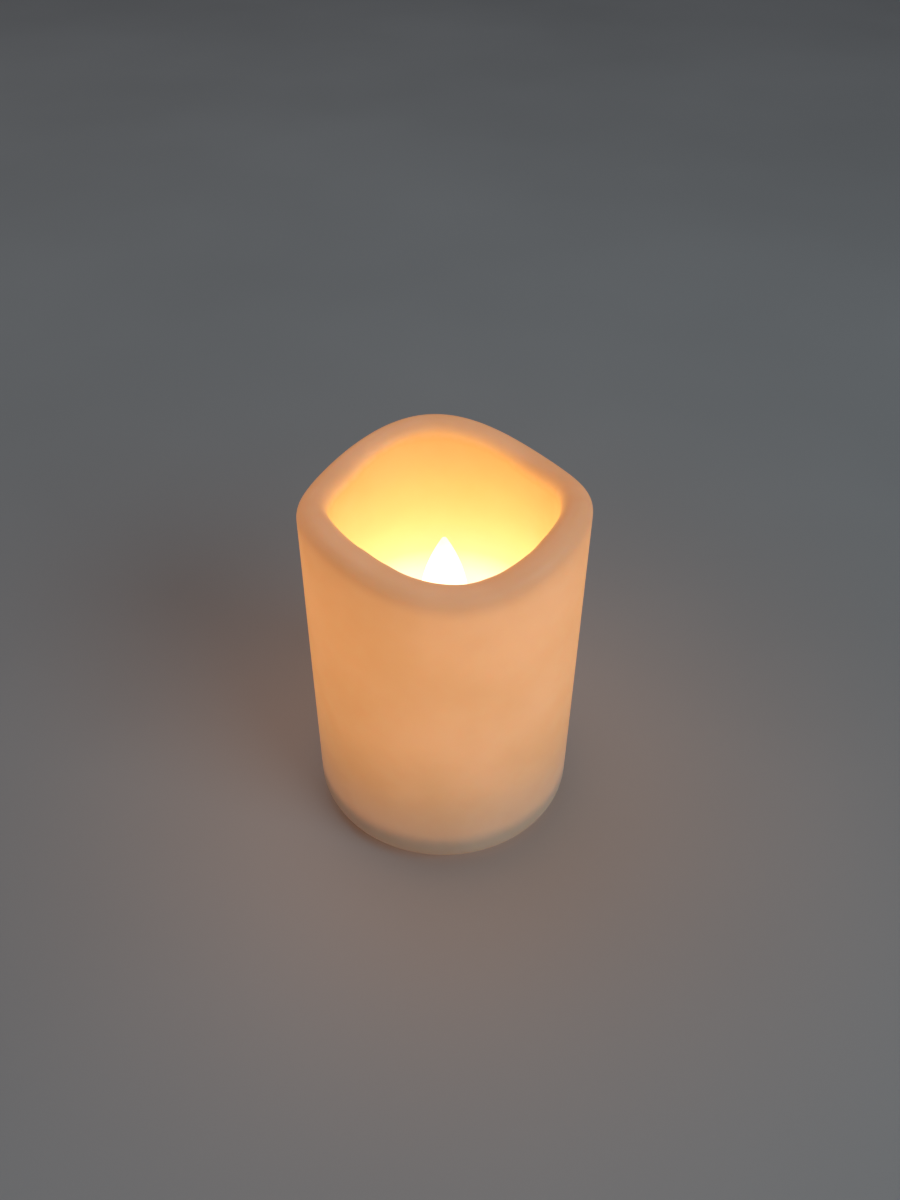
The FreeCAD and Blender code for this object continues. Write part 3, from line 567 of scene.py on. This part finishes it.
# the cover, the stalk and its lead sleeves are no lamps: their glow is painted lamp light, on the stalk
# growing towards the flame
lid = litMouldedFinish("lidMoulding", ivoryDark, ivoryLight, (200, 120, 50), 0.6)
stalk = litMouldedFinish("stalkMoulding", (228, 216, 194), (238, 228, 208), (255, 190, 96), 1.2,
                         (30 * mm, 64 * mm))
resin = litMouldedFinish("lampResin", (250, 226, 150), (255, 236, 170), (255, 236, 180), 6.0, (0.0, 60 * mm))
blackPlastic = mouldedFinish("blackMoulding", (20, 20, 21), (32, 32, 34), 0.5)
knobPlastic = mouldedFinish("knobMoulding", (24, 24, 25), (38, 38, 40), 0.42)
redSleeve = mouldedFinish("redInsulation", (150, 22, 18), (178, 34, 26), 0.36, sleeveDepth)
blackSleeve = mouldedFinish("blackInsulation", (14, 14, 15), (26, 26, 28), 0.36, sleeveDepth)
zinc = metalFinish("zincSteel", (150, 150, 152), (196, 196, 198), 0.32)
spring = metalFinish("springWire", (160, 160, 164), (208, 208, 210), 0.25, (1, 1, 3))
sheetMetal = metalFinish("nickelSheet", (168, 165, 158), (208, 204, 196), 0.28, (1, 4, 1))
can = metalFinish("canAluminium", (172, 172, 176), (206, 206, 210), 0.36, (4, 4, 1))

finishes = {
    "base_housing": ivoryPlastic,
    "battery_door": ivoryPlastic,
    "housing_cover": lid,
    "flame_stem": stalk,
    "lead_sleeves": stalk,
    "led_body": resin,
    "led_leads": spring,
    "board_screws": zinc,
    "cover_screws": zinc,
    "switch_frame": zinc,
    "switch_base": blackPlastic,
    "timer_chip": blackPlastic,
    "resistors": blackPlastic,
    "switch_knob": knobPlastic,
    "switch_terminals": sheetMetal,
    "positive_terminal": sheetMetal,
    "negative_terminal": sheetMetal,
    "link_contact_left": sheetMetal,
    "link_contact_right": sheetMetal,
    "contact_spring_1": spring,
    "contact_spring_2": spring,
    "contact_spring_3": spring,
    "capacitor": can,
    "timer_crystal": can,
    "circuit_board": boardFinish(),
    "led_wire_red": redSleeve,
    "battery_wire_red": redSleeve,
    "led_wire_black": blackSleeve,
    "battery_wire_black": blackSleeve,
    "switch_wires": blackSleeve,
    "aaa_cell_1": cellFinish("aaa_cell_1", 1),
    "aaa_cell_2": cellFinish("aaa_cell_2", -1),
    "aaa_cell_3": cellFinish("aaa_cell_3", 1),
}
for nodeName, material in finishes.items():
    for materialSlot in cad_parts[nodeName].material_slots:
        materialSlot.material = material
print("frame parts finished")

# Floor, lights and camera.
stage = {
    "floorSize": 8.0,
    "floorDark": srgb(194, 191, 188),
    "floorLight": srgb(204, 201, 198),
    "floorRoughness": 0.55,
    "floorGrain": 3.0,
    "world": srgb(128, 132, 140),
    "worldStrength": 0.30,
}


def makeFloor():
    bm = bmesh.new()
    bmesh.ops.create_grid(bm, x_segments=1, y_segments=1, size=stage["floorSize"] / 2)
    mesh = bpy.data.meshes.new("floor")
    bm.to_mesh(mesh)
    bm.free()
    floor = bpy.data.objects.new("floor", mesh)
    bpy.context.scene.collection.objects.link(floor)
    paint = Finish("floorPaint", Roughness=stage["floorRoughness"])
    tone = paint.grain(paint.coords(), stage["floorGrain"])
    paint.feed(Base_Color=paint.mottle(tone, stage["floorDark"], stage["floorLight"]))
    # seen from below the floor lets the view through to the underside
    under = paint.node("ShaderNodeNewGeometry", output="Backfacing")
    clear = paint.node("ShaderNodeBsdfTransparent")
    painted = Wire(paint, paint.shader.outputs[0])
    surface = paint.node("ShaderNodeMixShader", inputs={0: under, 1: painted, 2: clear})
    paint.tree.links.new(surface.socket, paint.tree.nodes["Material Output"].inputs["Surface"])
    mesh.materials.append(paint.material)
    floor.visible_shadow = False
    return floor


lights = {
    "softWindow": {"place": (0.78, -0.84, 0.72), "target": (0, 0, 0.05), "size": 0.9, "power": 3.7,
                   "colour": (0.60, 0.86, 1.0)},
    "softRoom": {"place": (-0.3, 0.5, 1.4), "target": (0, 0, 0.05), "size": 1.2, "power": 2.2,
                 "colour": (0.96, 0.97, 1.0)},
    "underLight": {"place": (0.1, -0.2, -0.5), "target": (0, 0, 0), "size": 0.5, "power": 2.5,
                   "colour": (1.0, 1.0, 1.0)},
    "warmPool": {"place": (0, 0, 0.06), "size": 0.04, "power": 0.065, "colour": (1.0, 0.42, 0.18)},
}
# what the light from underneath falls on
underside = ["base_housing", "battery_door", "switch_knob", "switch_frame", "aaa_cell_1", "aaa_cell_2",
             "aaa_cell_3", "positive_terminal", "negative_terminal", "link_contact_left",
             "link_contact_right", "contact_spring_1", "contact_spring_2", "contact_spring_3"]


def placeLight(name, data):
    data.energy = lights[name]["power"]
    data.color = lights[name]["colour"]
    lamp = bpy.data.objects.new(name, data)
    lamp.location = lights[name]["place"]
    bpy.context.scene.collection.objects.link(lamp)
    return lamp


def makeAreaLight(name):
    data = bpy.data.lights.new(name, "AREA")
    data.shape = "DISK"
    data.size = lights[name]["size"]
    lamp = placeLight(name, data)
    direction = Vector(lights[name]["target"]) - Vector(lights[name]["place"])
    lamp.rotation_euler = direction.to_track_quat("-Z", "Y").to_euler()
    return lamp


def makeWarmPool():
    # the candle's warm pool of light on the floor round it
    data = bpy.data.lights.new("warmPool", "POINT")
    data.shadow_soft_size = lights["warmPool"]["size"]
    return placeLight("warmPool", data)


def lightOnly(lamp, objects):
    lit = bpy.data.collections.new(lamp.name + "Lit")
    for thing in objects:
        lit.objects.link(thing)
    lamp.light_linking.receiver_collection = lit
    return lit


def makeWorld():
    world = bpy.data.worlds.new("room")
    bpy.context.scene.world = world
    world.use_nodes = True
    background = world.node_tree.nodes["Background"]
    background.inputs["Color"].default_value = stage["world"]
    background.inputs["Strength"].default_value = stage["worldStrength"]


view = {
    "azimuth": math.radians(-7.03),
    "reach": 220.8 * mm,
    "height": 257.5 * mm,
    "down": math.radians(40.59),
    "swing": math.radians(0.42),
    "roll": math.radians(0.50),
    "lens": 31.9,
    "sensor": 36.0,
    "nearest": 10 * mm,
}


def makeCamera():
    data = bpy.data.cameras.new("camera")
    data.lens = view["lens"]
    data.sensor_width = view["sensor"]
    data.clip_start = view["nearest"]
    camera = bpy.data.objects.new("camera", data)
    azimuth = view["azimuth"]
    place = Vector((view["reach"] * math.sin(azimuth), -view["reach"] * math.cos(azimuth), view["height"]))
    heading = Matrix.Rotation(azimuth - view["swing"], 4, "Z")
    tilt = Matrix.Rotation(math.pi / 2 - view["down"], 4, "X")
    roll = Matrix.Rotation(view["roll"], 4, "Z")
    camera.matrix_world = Matrix.Translation(place) @ heading @ tilt @ roll
    bpy.context.scene.collection.objects.link(camera)
    bpy.context.scene.camera = camera


floor = makeFloor()
makeAreaLight("softWindow")
makeAreaLight("softRoom")
lightOnly(makeAreaLight("underLight"), [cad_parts[nodeName] for nodeName in underside])
warmPool = makeWarmPool()
warmPool.light_linking.blocker_collection = lightOnly(warmPool, [floor])
makeWorld()
makeCamera()
bpy.context.scene.view_settings.view_transform = "Standard"
print("stage ready")
